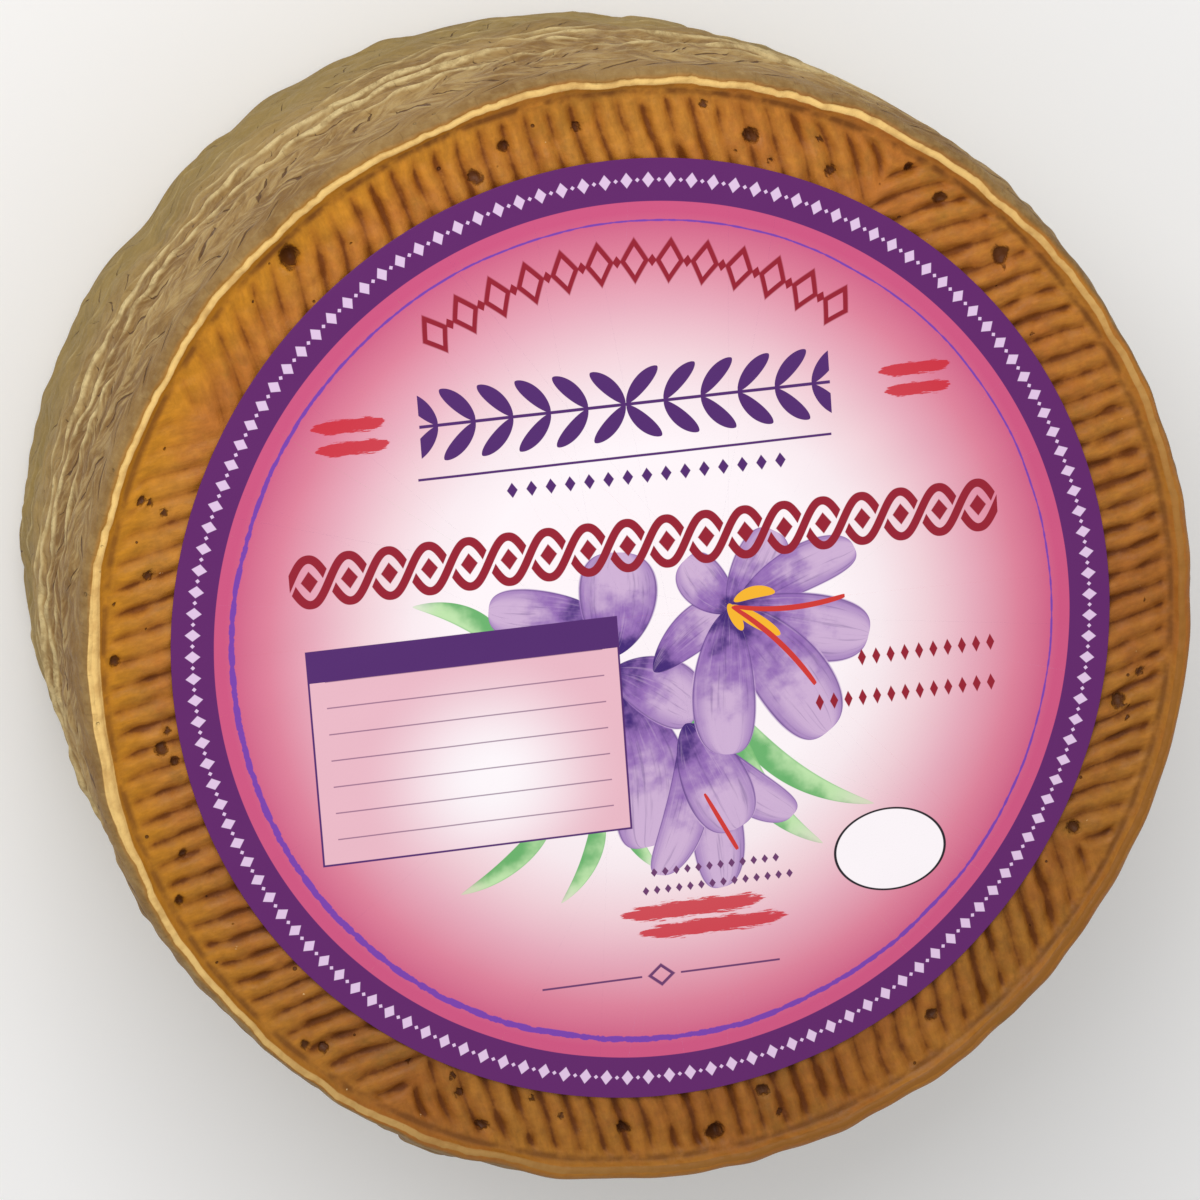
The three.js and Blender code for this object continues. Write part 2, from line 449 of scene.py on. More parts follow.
def tint(tree, share, under, over, blend="MIX"):
    inputs = {0: share, 6: under, 7: over}
    return put(tree, "Mix", inputs, data_type="RGBA", blend_type=blend).outputs[2]


def washed(tree, colour, paints, *washes):
    # a colour under washes, each given as what scaled takes and a paint's name
    for *ramp, name in washes:
        colour = tint(tree, scaled(tree, *ramp), colour, paints[name])
    return colour


def cloud(tree, where, scale, detail=3.0, roughness=0.55):
    inputs = {"Vector": where, "Scale": scale, "Detail": detail, "Roughness": roughness}
    return put(tree, "TexNoise", inputs).outputs["Fac"]


def vector(tree, x, y, z=0.0):
    return put(tree, "CombineXYZ", {0: x, 1: y, 2: z}).outputs[0]


def parts(tree, where):
    return put(tree, "SeparateXYZ", {0: where}).outputs


def size(tree, a):
    return put(tree, "VectorMath", {0: a}, operation="LENGTH").outputs["Value"]


def stored(tree, name):
    return put(tree, "Attribute", attribute_name=name).outputs["Fac"]


def millimetres(tree):
    where = put(tree, "TexCoord").outputs["Object"]
    return put(tree, "VectorMath", {0: where, "Scale": 1 / mm}, operation="SCALE").outputs[0]


def newGroup(name, inputs, outputs):  # a socket named Vector takes a vector, and any other a number
    group = bpy.data.node_groups.new(name, "ShaderNodeTree")
    for way, titles in (("INPUT", inputs), ("OUTPUT", outputs)):
        for title in titles:
            kind = "NodeSocketVector" if title == "Vector" else "NodeSocketFloat"
            group.interface.new_socket(title, in_out=way, socket_type=kind)
    return group, group.nodes.new("NodeGroupInput").outputs, group.nodes.new("NodeGroupOutput").inputs


def newMaterial(name, **surface):
    # a material, with values for its Principled BSDF's own sockets
    material = bpy.data.materials.new(name)
    material.use_nodes = True
    tree = material.node_tree
    shader = tree.nodes["Principled BSDF"]
    for key, value in surface.items():
        shader.inputs[key.replace("_", " ")].default_value = value
    return material, tree, shader


def roughen(tree, shader, height, strength=1.0):  # height in millimetres
    bump = put(tree, "Bump", {"Height": height, "Distance": mm, "Strength": strength})
    tree.links.new(bump.outputs[0], shader.inputs["Normal"])


rind = dict(
    crest=paint(193, 127, 44), crestRed=paint(180, 108, 40), crestDull=paint(160, 108, 38),
    # the two groove colours on this line are painted shade for the face's grooves
    shadedFlank=paint(152, 86, 16), groove=paint(108, 50, 0), edge=paint(198, 131, 24), cove=paint(112, 62, 8),
    # the lip's pale colour is partly wear and partly a painted highlight, and its dull colour is partly
    # painted shade
    lip=paint(246, 204, 126), lipShadedAndDull=paint(168, 108, 36), hole=paint(84, 42, 16),
    crumb=paint(222, 184, 132), side=paint(162, 130, 78), sidePale=paint(184, 156, 103),
    sideBrown=paint(126, 92, 46), sideGreen=paint(142, 122, 68), cord=paint(212, 188, 134),
    # the crack colour is painted shadow in the gaps between the plait's strands
    shadowedCrack=paint(90, 56, 24),
)


def weatherGroup():
    # uneven colour at three scales at once, from 0 to 1 about 0.5
    group, given, out = newGroup("weather", ("Vector", "Size"), ["Value"])
    value = 0.0
    for share, finer, detail in ((0.5, 1, 2), (0.3, 5, 3), (0.2, 22, 3)):
        scale = divided(group, finer, given["Size"])
        value = timesPlus(group, cloud(group, given["Vector"], scale, detail), share, value)
    group.links.new(value, out["Value"])
    return group


def weather(tree, where, size):  # size of the largest patches, in millimetres
    return put(tree, "Group", {"Vector": where, "Size": size}, node_tree=weatherNodes).outputs[0]


def toward(tree, around, turn):  # 1 at this turn round the wheel, in degrees, and -1 across from it
    return calc(tree, "COSINE", minus(tree, around, radians(turn)))


def darkened(tree, colour, share):
    return tint(tree, 1.0, colour, vector(tree, share, share, share), "MULTIPLY")


def faceColour(tree, where, around, radius):
    # crests in golden brown, streaks along them, grooves painted darker as painted shade, and the yellow
    # zone inside the lip
    c = rind
    colour = washed(tree, c["crest"], c, (weather(tree, where, 34.0), 0.38, 0.62, "crestRed"),
                    (weather(tree, where, 21.0), 0.5, 0.68, 0.0, 0.8, "crestDull"))
    yellow = scaled(tree, toward(tree, around, 160), 0.2, 0.95, 0.1, 1.0)
    edge = times(tree, scaled(tree, radius, 86.0, 93.5, 0.0, 0.85), yellow)
    colour = tint(tree, edge, colour, c["edge"])
    grain = vector(tree, times(tree, stored(tree, "across"), 1.1),
                   times(tree, stored(tree, "along"), 0.3), cloud(tree, where, 0.2))
    streaks = scaled(tree, cloud(tree, grain, 1.0, 4.0, 0.6), 0.3, 0.7, 0.86, 1.08)
    bright = times(tree, streaks, scaled(tree, cloud(tree, where, 0.5, 4.0, 0.6), 0.3, 0.7, 0.92, 1.06))
    colour = darkened(tree, colour, bright)
    # painted shade: the grooves are painted darker brown, darkest at the bottom of each groove
    uneven = timesPlus(tree, cloud(tree, where, 0.4, 4.0, 0.7), 1.3, 0.35)
    groove = times(tree, stored(tree, "groove"), uneven)
    return washed(tree, colour, c, (groove, 0.0, 0.5, 0.0, 0.5, "shadedFlank"),
                  (groove, 0.35, 0.85, 0.0, 0.85, "groove"))


def holeMask(tree, where):
    # the holes' cones with an uneven edge, and pinprick pits
    rough = timesPlus(tree, cloud(tree, where, 0.6, 4.0, 0.6), 0.8, -0.4)
    cone = plus(tree, stored(tree, "hole"), rough)
    cells = put(tree, "TexVoronoi", {"Vector": where, "Scale": 0.3}).outputs
    chance, _, _ = parts(tree, cells["Color"])
    size = scaled(tree, chance, 0.55, 1.0, 0.001, 0.13)
    pits = scaled(tree, divided(tree, cells["Distance"], size), 0.5, 1.0, 0.85, 0.0)
    return calc(tree, "MAXIMUM", scaled(tree, cone, 0.4, 0.66, 0.0, 0.9), pits)


def sideMasks(tree, where, around, radius, depth):
    # the cracks between the strands of the plait, which are painted dark as painted shadow, and the fibres
    # along them
    c = cheese
    tall = (wheelHeight - 2 * c["band"]) / c["plaitRows"]
    row = calc(tree, "FLOOR", stored(tree, "row"))
    within = calc(tree, "FRACT", stored(tree, "row"))
    odd = calc(tree, "FLOORED_MODULO", row, 2.0)
    slide = c["strandLean"] * tall / 100
    lean = timesPlus(tree, odd, -2 * slide, slide)
    unwound = minus(tree, around, times(tree, lean, within))
    strand = times(tree, unwound, c["strands"] / (2 * pi))
    strand = plus(tree, strand, timesPlus(tree, row, 0.37, stored(tree, "shift")))
    rough = timesPlus(tree, cloud(tree, where, 0.4, 3.0), 0.16, -0.08)
    away = calc(tree, "PINGPONG", plus(tree, strand, rough), 0.5)
    number = calc(tree, "FLOORED_MODULO", calc(tree, "ROUND", strand), float(c["strands"]))
    chance = put(tree, "TexWhiteNoise", {"Vector": vector(tree, number, row)}).outputs[0]
    wide = times(tree, scaled(tree, chance, 0.2, 1.0, 0.0, 0.13), scaled(tree, row, 1.0, 3.0, 1.0, 0.25))
    length = scaled(tree, calc(tree, "SINE", times(tree, within, pi)), 0.4, 0.9)
    wide = timesPlus(tree, wide, length, 0.001)
    shadowedCrack = minus(tree, 1.0, scaled(tree, divided(tree, away, wide), 0.3, 1.0))
    layer = timesPlus(tree, row, 31.0, times(tree, depth, 0.35))
    layer = plus(tree, layer, radius)
    east, north = (times(tree, calc(tree, wave, unwound), 100.0) for wave in ("COSINE", "SINE"))
    fibre = cloud(tree, vector(tree, east, north, layer), 0.45, 3.0, 0.6)
    strength = scaled(tree, depth, 24.0, 60.0, 1.3, 0.3)
    strength = times(tree, strength, scaled(tree, depth, 3.0, 8.0, 0.3, 1.0))
    fibre = timesPlus(tree, minus(tree, fibre, 0.5), strength, 0.5)
    return shadowedCrack, fibre


def sideColour(tree, where, around, depth, shadowedCrack, fibre):
    c = rind
    cord = stored(tree, "cord")
    colour = washed(
        tree, c["side"], c, (weather(tree, where, 26.0), 0.4, 0.6, "sideBrown"),
        (depth, 35.0, 80.0, 0.0, 0.7, "sideGreen"), (depth, 6.0, 14.0, 0.5, 0.0, "sideBrown"),
        (fibre, 0.45, 0.7, 0.0, 0.6, "sidePale"), (fibre, 0.3, 0.46, 0.55, 0.0, "sideBrown"),
        # painted shadow: brown under each cord, where the cord mark is below 0
        (cord, -0.5, -0.1, 0.65, 0.0, "sideBrown"),
    )
    # the cords are painted pale, partly worn rind and partly a painted highlight, and paler round 130
    # degrees, towards the light
    worn = scaled(tree, cloud(tree, where, 0.35, 4.0, 0.7), 0.35, 0.6, 0.35, 1.0)
    worn = times(tree, worn, scaled(tree, toward(tree, around, 130), -0.2, 0.85, 0.5, 1.0))
    colour = tint(tree, times(tree, scaled(tree, cord, 0.15, 0.7), worn), colour, c["cord"])
    # painted shadow: the cracks between strands are painted dark brown
    return tint(tree, times(tree, shadowedCrack, 0.9), colour, c["shadowedCrack"])


def rindMaterial():
    material, tree, shader = newMaterial("rind", Specular_IOR_Level=0.22)
    c = rind
    where = millimetres(tree)
    x, y, z = parts(tree, where)
    around = calc(tree, "ARCTAN2", y, x)
    radius = size(tree, vector(tree, x, y))
    depth = minus(tree, wheelHeight, z)
    shadowedCrack, fibre = sideMasks(tree, where, around, radius, depth)
    onSide = stored(tree, "side")
    shadowedCrack = times(tree, shadowedCrack, onSide)

    colour = faceColour(tree, where, around, radius)
    # painted shadow: the holes and pinprick pits are painted dark brown
    hole = holeMask(tree, where)
    colour = tint(tree, hole, colour, c["hole"])
    # painted shadow: the cove inside the lip is painted dark brown, most round 80 degrees, where it faces
    # away from the light
    deep = scaled(tree, toward(tree, around, 80), 0.1, 0.9, 0.7, 0.95)
    deep = times(tree, deep, scaled(tree, cloud(tree, where, 0.2), 0.3, 0.6))
    colour = tint(tree, times(tree, stored(tree, "cove"), deep), colour, c["cove"])
    ragged = timesPlus(tree, cloud(tree, where, 0.5, 4.0, 0.6), 0.3, -0.15)
    lip = scaled(tree, plus(tree, stored(tree, "lip"), ragged), 0.35, 0.65)
    lip = times(tree, lip, scaled(tree, stored(tree, "lip"), 0.05, 0.3))
    # the lip's pale top: worn patches, made paler towards the light round 135 degrees as a painted
    # highlight, then darker away from the light round 105 degrees as painted shade
    worn = scaled(tree, cloud(tree, where, 0.3, 4.0), 0.3, 0.6, 0.6, 1.0)
    bright = times(tree, worn, scaled(tree, toward(tree, around, 135), -0.9, 0.4, 0.0, 1.0))
    # painted shade: the face, its holes and its cove are painted darker away from the light's side, round
    # 105 degrees
    shade = darkened(tree, colour, scaled(tree, toward(tree, around, 105), -1.0, 1.0, 0.7, 1.03))
    rim = tint(tree, bright, c["lipShadedAndDull"], c["lip"])
    rim = darkened(tree, rim, scaled(tree, toward(tree, around, 105), -1.0, 0.6, 0.66, 1.0))
    colour = tint(tree, onSide, shade, sideColour(tree, where, around, depth, shadowedCrack, fibre))
    colour = tint(tree, lip, colour, rim)
    crumbs = scaled(tree, cloud(tree, where, 0.4, 4.0, 0.65), 0.735, 0.765)
    colour = tint(tree, crumbs, colour, c["crumb"])
    tree.links.new(colour, shader.inputs["Base Color"])

    sheen = scaled(tree, cloud(tree, where, 0.25, 4.0), 0.3, 0.7, 0.42, 0.6)
    rough = timesPlus(tree, onSide, 0.2, sheen)
    rough = calc(tree, "MULTIPLY_ADD", stored(tree, "groove"), 0.15, rough, clamp=True)
    tree.links.new(rough, shader.inputs["Roughness"])

    height = times(tree, cloud(tree, where, 0.7, 4.0, 0.6), 0.2)
    height = timesPlus(tree, times(tree, cloud(tree, where, 0.35, 3.0), onSide), 0.5, height)
    height = timesPlus(tree, times(tree, fibre, onSide), 0.3, height)
    height = timesPlus(tree, shadowedCrack, -0.35, height)
    height = timesPlus(tree, hole, -0.4, height)
    roughen(tree, shader, height)
    print("rind: %d nodes" % len(tree.nodes))
    return material


# label print, in millimetres from the middle of the label, +X to the reader's right
ink = dict(
    ground=[(0.40, paint(255, 246, 250)), (0.50, paint(250, 235, 240)), (0.60, paint(243, 210, 218)),
            (0.70, paint(233, 173, 190)), (0.80, paint(223, 130, 156)), (0.85, paint(214, 109, 142)),
            (0.89, paint(208, 86, 130))],  # share of the label's radius, and the colour there
    band=paint(98, 34, 106), bandMark=paint(226, 198, 230), bandInner=76.2, bandMarks=132,
    line=paint(112, 62, 176), lineRadius=73.0,
    title=paint(152, 28, 48), name=paint(84, 40, 112), small=paint(110, 60, 110), outline=paint(36, 32, 40),
    panelFill=paint(236, 186, 200), white=paint(255, 248, 252), stroke=paint(206, 36, 52),
    petalDark=paint(66, 36, 118), petal=paint(150, 108, 182), petalPale=paint(214, 184, 218),
    petalLine=paint(78, 48, 120), leafDark=paint(92, 176, 96), leaf=paint(190, 230, 170),
    stamen=paint(250, 184, 44), stigma=paint(210, 56, 50),
)

# Blades, petals and so on, later ones on top: x and y of the foot, degrees that the tip points to, length,
# width, and bend as a share of the length.
blades = [
    (14.0, -16.0, -38, 31.0, 4.6, -0.10), (14.0, -18.5, -57, 27.0, 5.0, -0.12),
    (-20.0, -31.0, -146, 20.0, 3.6, 0.08), (-11.0, -31.0, -118, 17.0, 3.4, 0.10),
    (-7.0, -30.0, -64, 13.5, 3.0, -0.08), (-26.0, 2.0, 152, 17.0, 4.0, -0.10),
    (8.0, -12.0, -66, 12.0, 3.4, 0.06), (7.5, -16.0, -104, 12.5, 2.4, -0.10),
]
petals = [
    # a bud at the left, and an open flower beside it
    (-9.0, 5.0, 172, 19.0, 9.2, 0.03), (-6.0, -9.0, -84, 29.0, 14.0, 0.10),
    (-6.5, -3.0, 84, 18.5, 14.0, -0.03), (-7.0, -5.5, -32, 17.5, 11.5, 0.06),
    # a hanging flower
    (6.8, -20.0, -83, 27.0, 9.5, 0.04), (5.6, -17.0, -104, 27.0, 8.0, 0.10),
    (7.0, -18.0, -46, 24.0, 8.0, -0.08), (5.5, -16.5, -68, 21.5, 12.0, 0.0),
    # a large open flower, with its tube behind
    (0.5, -6.5, 34, 19.0, 8.0, 0.06), (15.5, 2.5, 128, 13.0, 8.5, 0.04), (15.0, 2.0, 58, 16.5, 9.5, -0.02),
    (15.5, 2.5, 22, 24.0, 8.5, 0.05), (15.0, 3.0, -17, 25.5, 12.0, -0.02),
    (14.5, 3.5, -56, 29.5, 13.5, 0.03), (14.5, 3.0, -94, 26.0, 11.5, -0.03),
]
stamens = [(15.6, 4.4, 6, 7.5, 2.2, 0.1), (15.0, 3.6, -36, 10.5, 2.4, 0.0), (14.6, 4.0, -66, 5.5, 1.9, 0.0)]
stigmas = [(15.5, 3.4, -1, 20.0, 1.0, -0.06), (15.2, 3.4, -48, 21.0, 1.0, 0.05),
           (8.0, -29.5, -64, 12.0, 0.8, 0.0)]

# rows of lozenges: x, y, length, pitch, half width, half height, hollow core, colour
lozengeRows = [
    (1.8, 28.4, 51.0, 3.4, 0.95, 1.35, 0.0, "name"),
    (49.6, -8.4, 26.0, 2.6, 0.75, 1.5, 0.0, "title"), (45.4, -15.6, 33.8, 2.6, 0.75, 1.5, 0.0, "title"),
    (9.0, -42.6, 24.0, 2.0, 0.6, 0.8, 0.0, "small"), (9.3, -45.8, 28.0, 2.0, 0.6, 0.8, 0.0, "small"),
    (-2.0, -61.3, 5.4, 5.4, 2.5, 2.1, 0.7, "small"),
]
rules = [(-1.6, 32.0, 36.6, 0.22, "name"), (-14.5, -61.3, 9.0, 0.18, "small"),
         (10.5, -61.3, 9.0, 0.18, "small")]  # x, y, half length, half height, colour
strokes = [(-49.5, 42.8, 6.5, 1.1), (-49.0, 38.9, 6.5, 1.1), (50.6, 42.0, 6.5, 1.0), (51.0, 38.4, 6.0, 1.0),
           (4.5, -49.8, 13.0, 1.4), (8.0, -53.4, 13.5, 1.3)]  # x, y, half length, half height
panel = dict(x=-32.8, y=-15.0, halfWidth=27.5, halfHeight=19.2, header=5.6, row=4.69, glowX=3.4, glowY=-7.1)
seal = dict(x=40.8, y=-43.7, halfWidth=10.3, halfHeight=7.6)
sprig = dict(x=-1.0, y=41.2, halfLength=36.3, halfStem=0.28, pitch=6.6, leaf=(0.1, 0.1, 46, 8.4, 2.7, 0.04))
braid = dict(x=1.0, y=16.4, halfLength=63.0, height=4.0, period=14.0, halfWidth=0.75)
arc = dict(turn=88, radius=66.0, length=80.6, pitch=6.2)


def placed(tree, where, x, y, turn=0.0, size=1.0):
    # a motif's own coordinates, where it stands at x, y, turned by so many degrees and enlarged
    inputs = {"Vector": where, "Location": (x, y, 0), "Rotation": (0, 0, radians(turn)),
              "Scale": (size, size, size)}
    return put(tree, "Mapping", inputs, vector_type="TEXTURE").outputs[0]


def petalGroup():
    # A leaf or petal from 0, 0 to 1, 0. Half its width is width * along ^ rise * (1 - along) ^ fall, about
    # a parabola. Out come a mask, and where a point lies: along, and across from -1 to 1.
    inputs = ("Vector", "Width", "Rise", "Fall", "Bend")
    group, given, out = newGroup("petalShape", inputs, ("Mask", "Along", "Across"))
    x, y, _ = parts(group, given["Vector"])
    along = calc(group, "MAXIMUM", calc(group, "MINIMUM", x, 1.0), 0.0)
    left = minus(group, 1.0, along)
    wide = calc(group, "POWER", along, given["Rise"])
    wide = times(group, wide, calc(group, "POWER", left, given["Fall"]))
    wide = timesPlus(group, wide, given["Width"], 0.0001)
    bend = times(group, given["Bend"], 4.0)
    middle = times(group, times(group, along, left), bend)
    across = divided(group, minus(group, y, middle), wide)
    mask = scaled(group, absolute(group, across), 0.97, 1.03, 1.0, 0.0)
    for name, value in (("Mask", mask), ("Along", along), ("Across", across)):
        group.links.new(value, out[name])
    return group


def petalAt(tree, where, shape, rise, fall):
    x, y, turn, length, width, bend = shape
    peak = rise / (rise + fall)
    full = peak ** rise * (1 - peak) ** fall
    inputs = {"Vector": placed(tree, where, x, y, turn, length), "Width": width / length / 2 / full,
              "Rise": rise, "Fall": fall, "Bend": bend}
    return put(tree, "Group", inputs, node_tree=petalNodes).outputs


def lozengeGroup():
    # A row of lozenges along X, centred on 0, 0: |x| / half width + |y| / half height < 1. Each is hollow
    # inside its core.
    inputs = ("Vector", "Length", "Pitch", "Half Width", "Half Height", "Core")
    group, given, out = newGroup("lozengeRow", inputs, ["Mask"])
    x, y, _ = parts(group, given["Vector"])
    half = times(group, given["Length"], 0.5)
    cell = calc(group, "FRACT", divided(group, plus(group, x, half), given["Pitch"]))
    aside = times(group, minus(group, cell, 0.5), given["Pitch"])
    away = divided(group, absolute(group, y), given["Half Height"])
    away = plus(group, away, divided(group, absolute(group, aside), given["Half Width"]))
    mask = times(group, scaled(group, away, 0.93, 1.07, 1.0, 0.0),
                calc(group, "LESS_THAN", absolute(group, x), half))
    hollow = scaled(group, minus(group, away, given["Core"]), -0.07, 0.0)
    group.links.new(times(group, mask, hollow), out["Mask"])
    return group


def lozenges(tree, where, length, pitch, halfWidth, halfHeight, core=0.0):
    inputs = {"Vector": where, "Length": length, "Pitch": pitch, "Half Width": halfWidth,
              "Half Height": halfHeight, "Core": core}
    return put(tree, "Group", inputs, node_tree=lozengeNodes).outputs[0]


def bar(tree, where, halfWidth, halfHeight):  # an upright rectangle
    x, y, _ = parts(tree, where)
    beyond = [minus(tree, absolute(tree, v), half) for v, half in ((x, halfWidth), (y, halfHeight))]
    return scaled(tree, calc(tree, "MAXIMUM", *beyond), -0.05, 0.05, 1.0, 0.0)


def drawBlades(tree, where, colour):
    wash = timesPlus(tree, cloud(tree, where, 0.2, 3.0), 1.4, -0.7)
    for shape in blades:
        mask, along, across = petalAt(tree, where, shape, 0.35, 0.75)
        lean = plus(tree, timesPlus(tree, along, 0.8, wash), times(tree, across, 0.35))
        green = washed(tree, ink["leafDark"], ink, (lean, 0.0, 0.8, "leaf"),
                       (absolute(tree, across), 0.8, 1.0, 0.0, 0.5, "leafDark"))
        faded = times(tree, mask, scaled(tree, along, 0.7, 1.0, 0.95, 0.5))
        colour = tint(tree, faded, colour, green)
    return colour


def drawPetals(tree, where, colour):
    # The place in the topmost petal is found first, as a vector of along, across and petal number, so the
    # wash and the veins are worked out only once.
    cover, spot = 0.0, (0, 0, 0, 1)
    for number, shape in enumerate(petals):
        mask, along, across = petalAt(tree, where, shape, 0.62, 0.36)
        spot = tint(tree, mask, spot, vector(tree, along, across, number * 1.0))
        cover = calc(tree, "MAXIMUM", cover, mask)
    along, across, number = parts(tree, spot)
    side = absolute(tree, across)
    veins = cloud(tree, vector(tree, times(tree, along, 1.3), times(tree, across, 5.0),
                               times(tree, number, 7.3)), 1.6, 3.0, 0.6)
    wash = cloud(tree, where, 0.28, 3.0)
    reach = timesPlus(tree, minus(tree, wash, 0.5), 0.8, along)
    violet = tint(tree, scaled(tree, reach, 0.04, 0.36), ink["petalDark"], ink["petal"])
    pale = times(tree, scaled(tree, reach, 0.3, 0.75, 0.0, 0.9), scaled(tree, side, 0.4, 1.0, 1.0, 0.3))
    violet = washed(tree, tint(tree, pale, violet, ink["petalPale"]), ink,
                    (veins, 0.54, 0.72, 0.0, 0.35, "petalLine"), (veins, 0.3, 0.46, 0.3, 0.0, "petalPale"),
                    (side, 0.91, 0.98, 0.0, 0.65, "petalLine"))
    return tint(tree, cover, colour, violet)


def drawThreads(tree, where, colour):
    for shapes, shade, rise, fall in ((stamens, "stamen", 0.5, 0.5), (stigmas, "stigma", 0.2, 0.12)):
        for shape in shapes:
            mask = petalAt(tree, where, shape, rise, fall)["Mask"]
            colour = tint(tree, mask, colour, ink[shade])
    return colour


def drawPanel(tree, where, colour):
    # a framed panel with a dark header over blank ruled rows, and a white glow in its fill
    c = panel
    own = placed(tree, where, c["x"], c["y"])
    _, y, _ = parts(tree, own)
    glow = size(tree, placed(tree, own, c["glowX"], c["glowY"]))
    fill = tint(tree, scaled(tree, glow, 2.0, 24.0), ink["white"], ink["panelFill"])
    drop = minus(tree, c["halfHeight"] - c["header"], y)
    cell = calc(tree, "PINGPONG", drop, c["row"] / 2)
    written = bar(tree, own, c["halfWidth"] - 3, c["halfHeight"] - 2)
    ruled = times(tree, scaled(tree, cell, 0.06, 0.17, 0.7, 0.0), written)
    fill = tint(tree, ruled, fill, ink["small"])
    rim = minus(tree, 1.0, bar(tree, own, c["halfWidth"] - 0.35, c["halfHeight"] - 0.35))
    fill = tint(tree, calc(tree, "MAXIMUM", rim, calc(tree, "LESS_THAN", drop, 0.0)), fill, ink["name"])
    return tint(tree, bar(tree, own, c["halfWidth"], c["halfHeight"]), colour, fill)


def drawSeal(tree, where, colour):
    # a blank white oval with a dark outline
    c = seal
    inputs = {0: placed(tree, where, c["x"], c["y"]), 1: (1 / c["halfWidth"], 1 / c["halfHeight"], 0)}
    away = size(tree, put(tree, "VectorMath", inputs, operation="MULTIPLY").outputs[0])
    fill = tint(tree, scaled(tree, away, 0.945, 0.955), ink["white"], ink["outline"])
    return tint(tree, scaled(tree, away, 0.99, 1.0, 1.0, 0.0), colour, fill)


def drawBraid(tree, where, colour):
    # two sine strands that cross over and under each other in turn, with a lozenge in each loop
    c = braid
    own = placed(tree, where, c["x"], c["y"])
    x, y, _ = parts(tree, own)
    turns = 2 * pi / c["period"]
    phase = times(tree, x, turns)
    wave = times(tree, calc(tree, "SINE", phase), c["height"])
    swing = calc(tree, "COSINE", phase)
    slope = times(tree, swing, c["height"] * turns)
    slant = calc(tree, "SQRT", timesPlus(tree, slope, slope, 1.0))
    first = divided(tree, absolute(tree, minus(tree, y, wave)), slant)
    second = divided(tree, absolute(tree, plus(tree, y, wave)), slant)
    turnOver = calc(tree, "GREATER_THAN", swing, 0.0)
    upper = plus(tree, times(tree, turnOver, first), times(tree, minus(tree, 1.0, turnOver), second))
    under = minus(tree, plus(tree, first, second), upper)
    half = c["halfWidth"]
    over, below = (scaled(tree, away, half - 0.05, half + 0.05, 1.0, 0.0) for away in (upper, under))
    below = times(tree, below, scaled(tree, upper, half + 0.45, half + 0.55))
    inside = calc(tree, "LESS_THAN", absolute(tree, x), c["halfLength"])
    strands = times(tree, calc(tree, "MAXIMUM", over, below), inside)
    colour = tint(tree, strands, colour, ink["title"])
    hearts = lozenges(tree, own, 2 * c["halfLength"], c["period"] / 2, 1.5, 1.9)
    return tint(tree, hearts, colour, ink["title"])


def drawSprig(tree, where, colour):
    # a straight stem with pairs of leaves that point away from the middle
    c = sprig
    own = placed(tree, where, c["x"], c["y"])
    x, y, _ = parts(tree, own)
    out = absolute(tree, x)
    cell = times(tree, calc(tree, "FRACT", divided(tree, out, c["pitch"])), c["pitch"])
    folded = vector(tree, cell, absolute(tree, y))
    leaf = times(tree, petalAt(tree, folded, c["leaf"], 0.7, 0.6)["Mask"],
                 calc(tree, "LESS_THAN", out, c["halfLength"]))
    mask = calc(tree, "MAXIMUM", leaf, bar(tree, own, c["halfLength"], c["halfStem"]))
    return tint(tree, mask, colour, ink["name"])


def strokeMask(tree, where, halfLength, halfHeight):
    # a dry brush stroke: |y| / half height + (|x| / half length) ^ 6 + streaks < 1
    x, y, _ = parts(tree, where)
    streaks = cloud(tree, vector(tree, times(tree, x, 0.22), times(tree, y, 2.4)), 1.0, 4.0, 0.7)
    end = calc(tree, "POWER", divided(tree, absolute(tree, x), halfLength), 6.0)
    away = plus(tree, divided(tree, absolute(tree, y), halfHeight), end)
    away = timesPlus(tree, minus(tree, streaks, 0.5), 2.4, away)
    return scaled(tree, away, 0.95, 1.1, 0.92, 0.0)


def drawBand(tree, where, around, radius, colour):
    # a line drawn with a soft nib inside a dark band with a ring of pale marks
    c = ink
    ring = vector(tree, calc(tree, "COSINE", around), calc(tree, "SINE", around))
    drift = timesPlus(tree, cloud(tree, ring, 2.2, 2.0), 1.2, c["lineRadius"] - 0.6)
    press = scaled(tree, toward(tree, around, 228), -0.6, 1.0, 0.17, 0.55)
    press = times(tree, press, scaled(tree, cloud(tree, where, 0.5, 3.0), 0.3, 0.6, 0.6, 1.15))
    beyond = minus(tree, absolute(tree, minus(tree, radius, drift)), press)
    inner = c["bandInner"]
    colour = washed(tree, colour, c, (beyond, -0.08, 0.08, 0.92, 0.0, "line"),
                    (radius, inner - 0.06, inner + 0.06, "band"))
    middle = (inner + labelHigh.x) / 2
    length = 2 * pi * middle
    pitch = length / c["bandMarks"]
    rolled = vector(tree, times(tree, around, middle), minus(tree, radius, middle))
    marks = lozenges(tree, rolled, length, pitch, 1.05, 1.35)
    dots = lozenges(tree, placed(tree, rolled, pitch / 2, 0), length * 2, pitch, 0.4, 0.4)
    return tint(tree, calc(tree, "MAXIMUM", marks, dots), colour, c["bandMark"])


def drawArc(tree, around, radius, colour):  # an arc of hollow lozenges with hearts
    c = arc
    fromTop = minus(tree, around, radians(c["turn"]))
    own = vector(tree, times(tree, fromTop, c["radius"]), minus(tree, radius, c["radius"]))
    rings = lozenges(tree, own, c["length"], c["pitch"], 2.6, 4.1, 0.64)
    colour = tint(tree, rings, colour, ink["title"])
    hearts = lozenges(tree, own, c["length"] - c["pitch"], c["pitch"], 0.8, 1.1)
    return tint(tree, hearts, colour, ink["title"])


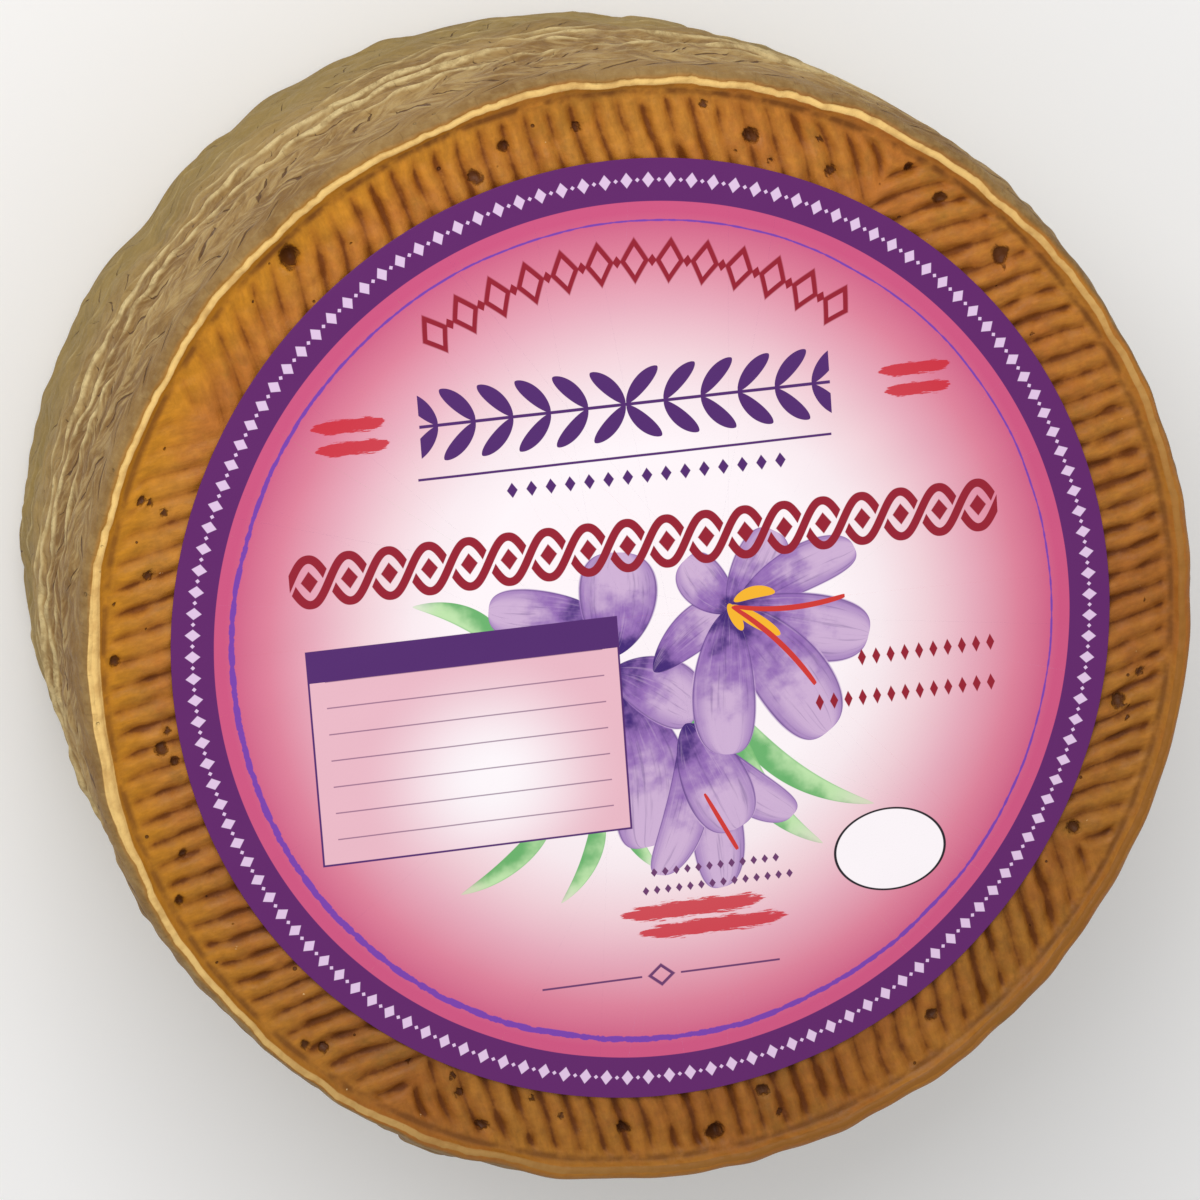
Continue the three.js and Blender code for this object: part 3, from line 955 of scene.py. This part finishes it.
def labelMaterial():
    material, tree, shader = newMaterial("labelPaper", Specular_IOR_Level=0.22)
    where = millimetres(tree)
    x, y, _ = parts(tree, where)
    flat = vector(tree, x, y)
    around = calc(tree, "ARCTAN2", y, x)
    radius = size(tree, flat)
    share = divided(tree, radius, labelHigh.x)
    colour = ink["ground"][0][1]
    for (low, _), (high, over) in zip(ink["ground"], ink["ground"][1:]):
        between = {0: share, 1: low, 2: high, 3: 0.0, 4: 1.0}
        colour = tint(tree, put(tree, "MapRange", between).outputs[0], colour, over)
    for draw in (drawBlades, drawPetals, drawThreads, drawPanel, drawSeal):
        colour = draw(tree, flat, colour)
    for x, y, halfLength, halfHeight in strokes:
        mask = strokeMask(tree, placed(tree, flat, x, y), halfLength, halfHeight)
        colour = tint(tree, mask, colour, ink["stroke"])
    for x, y, halfLength, halfHeight, shade in rules:
        colour = tint(tree, bar(tree, placed(tree, flat, x, y), halfLength, halfHeight), colour, ink[shade])
    for x, y, *sizes, shade in lozengeRows:
        colour = tint(tree, lozenges(tree, placed(tree, flat, x, y), *sizes), colour, ink[shade])
    colour = drawBraid(tree, flat, drawSprig(tree, flat, colour))
    colour = drawArc(tree, around, radius, colour)
    colour = drawBand(tree, flat, around, radius, colour)
    tree.links.new(colour, shader.inputs["Base Color"])
    print("label print: %d nodes" % len(tree.nodes))

    gloss = scaled(tree, cloud(tree, where, 0.12, 3.0), 0.3, 0.7, 0.36, 0.5)
    tree.links.new(gloss, shader.inputs["Roughness"])
    roughen(tree, shader, times(tree, cloud(tree, where, 2.5, 3.0), 0.02))
    return material


petalNodes = petalGroup()
lozengeNodes = lozengeGroup()
weatherNodes = weatherGroup()
buildCheese(rindMaterial())
buildLabel(labelMaterial())

# floor, light and camera
studio = dict(
    floorSize=3.0,
    floorColour=(0.95, 0.95, 0.95, 1),
    worldStrength=0.62,
    keySize=0.8,
    keyPower=8.0,
    keyDistance=1.2,
    keyTurn=115,  # degrees round the wheel
    keyRise=50,  # degrees above the floor
    cameraDistance=0.98,
    cameraTilt=17.49,  # degrees off the wheel's axis
    cameraTurn=130.3,  # degrees round the wheel
    cameraRoll=4.1,  # degrees between the label's upright and the camera's
    lens=169.1,
    aimRight=-0.00862,  # from the middle of the top to where the camera looks
    aimUp=0.00643,
)


def aside(distance, turn, rise):  # a point this far from the middle of the top, at this turn and rise
    turn, rise = radians(turn), radians(rise)
    flat = cos(rise)
    return Vector((flat * cos(turn), flat * sin(turn), sin(rise))) * distance


def facing(place, target, upright):  # a matrix at place whose -Z axis points at target
    back = (place - target).normalized()
    right = upright.cross(back).normalized()
    turned = Matrix((right, back.cross(right), back)).transposed()
    return Matrix.Translation(place) @ turned.to_4x4()


def buildStudio():
    c = studio
    top = Vector((0, 0, wheelHeight * mm))
    half = c["floorSize"] / 2
    ground = bpy.data.meshes.new("floor")
    corners = [(-half, -half, 0), (half, -half, 0), (half, half, 0), (-half, half, 0)]
    ground.from_pydata(corners, [], [(0, 1, 2, 3)])
    material, _, _ = newMaterial("floorPaint", Roughness=0.9, Base_Color=c["floorColour"])
    ground.materials.append(material)
    addObject("floor", ground)

    world = bpy.data.worlds.new("studio")
    world.use_nodes = True
    sky = world.node_tree.nodes["Background"].inputs
    sky["Color"].default_value = (1, 1, 1, 1)
    sky["Strength"].default_value = c["worldStrength"]
    bpy.context.scene.world = world

    key = bpy.data.lights.new("key", "AREA")
    key.size = c["keySize"]
    key.energy = c["keyPower"]
    place = top + aside(c["keyDistance"], c["keyTurn"], c["keyRise"])
    addObject("key", key).matrix_world = facing(place, top, Vector((0, 0, 1)))

    camera = bpy.data.cameras.new("camera")
    camera.lens = c["lens"]
    camera.sensor_width = 36
    roll = radians(c["cameraRoll"])
    upright = Vector((sin(roll), cos(roll), 0))
    place = top + aside(c["cameraDistance"], c["cameraTurn"], 90 - c["cameraTilt"])
    level = facing(place, top, upright).to_3x3()
    target = top + level @ Vector((c["aimRight"], c["aimUp"], 0))
    eye = addObject("camera", camera)
    eye.matrix_world = facing(place, target, level @ Vector((0, 1, 0)))
    bpy.context.scene.camera = eye
    bpy.context.scene.view_settings.view_transform = "Standard"
    print("studio: floor, world, key light and camera")


buildStudio()
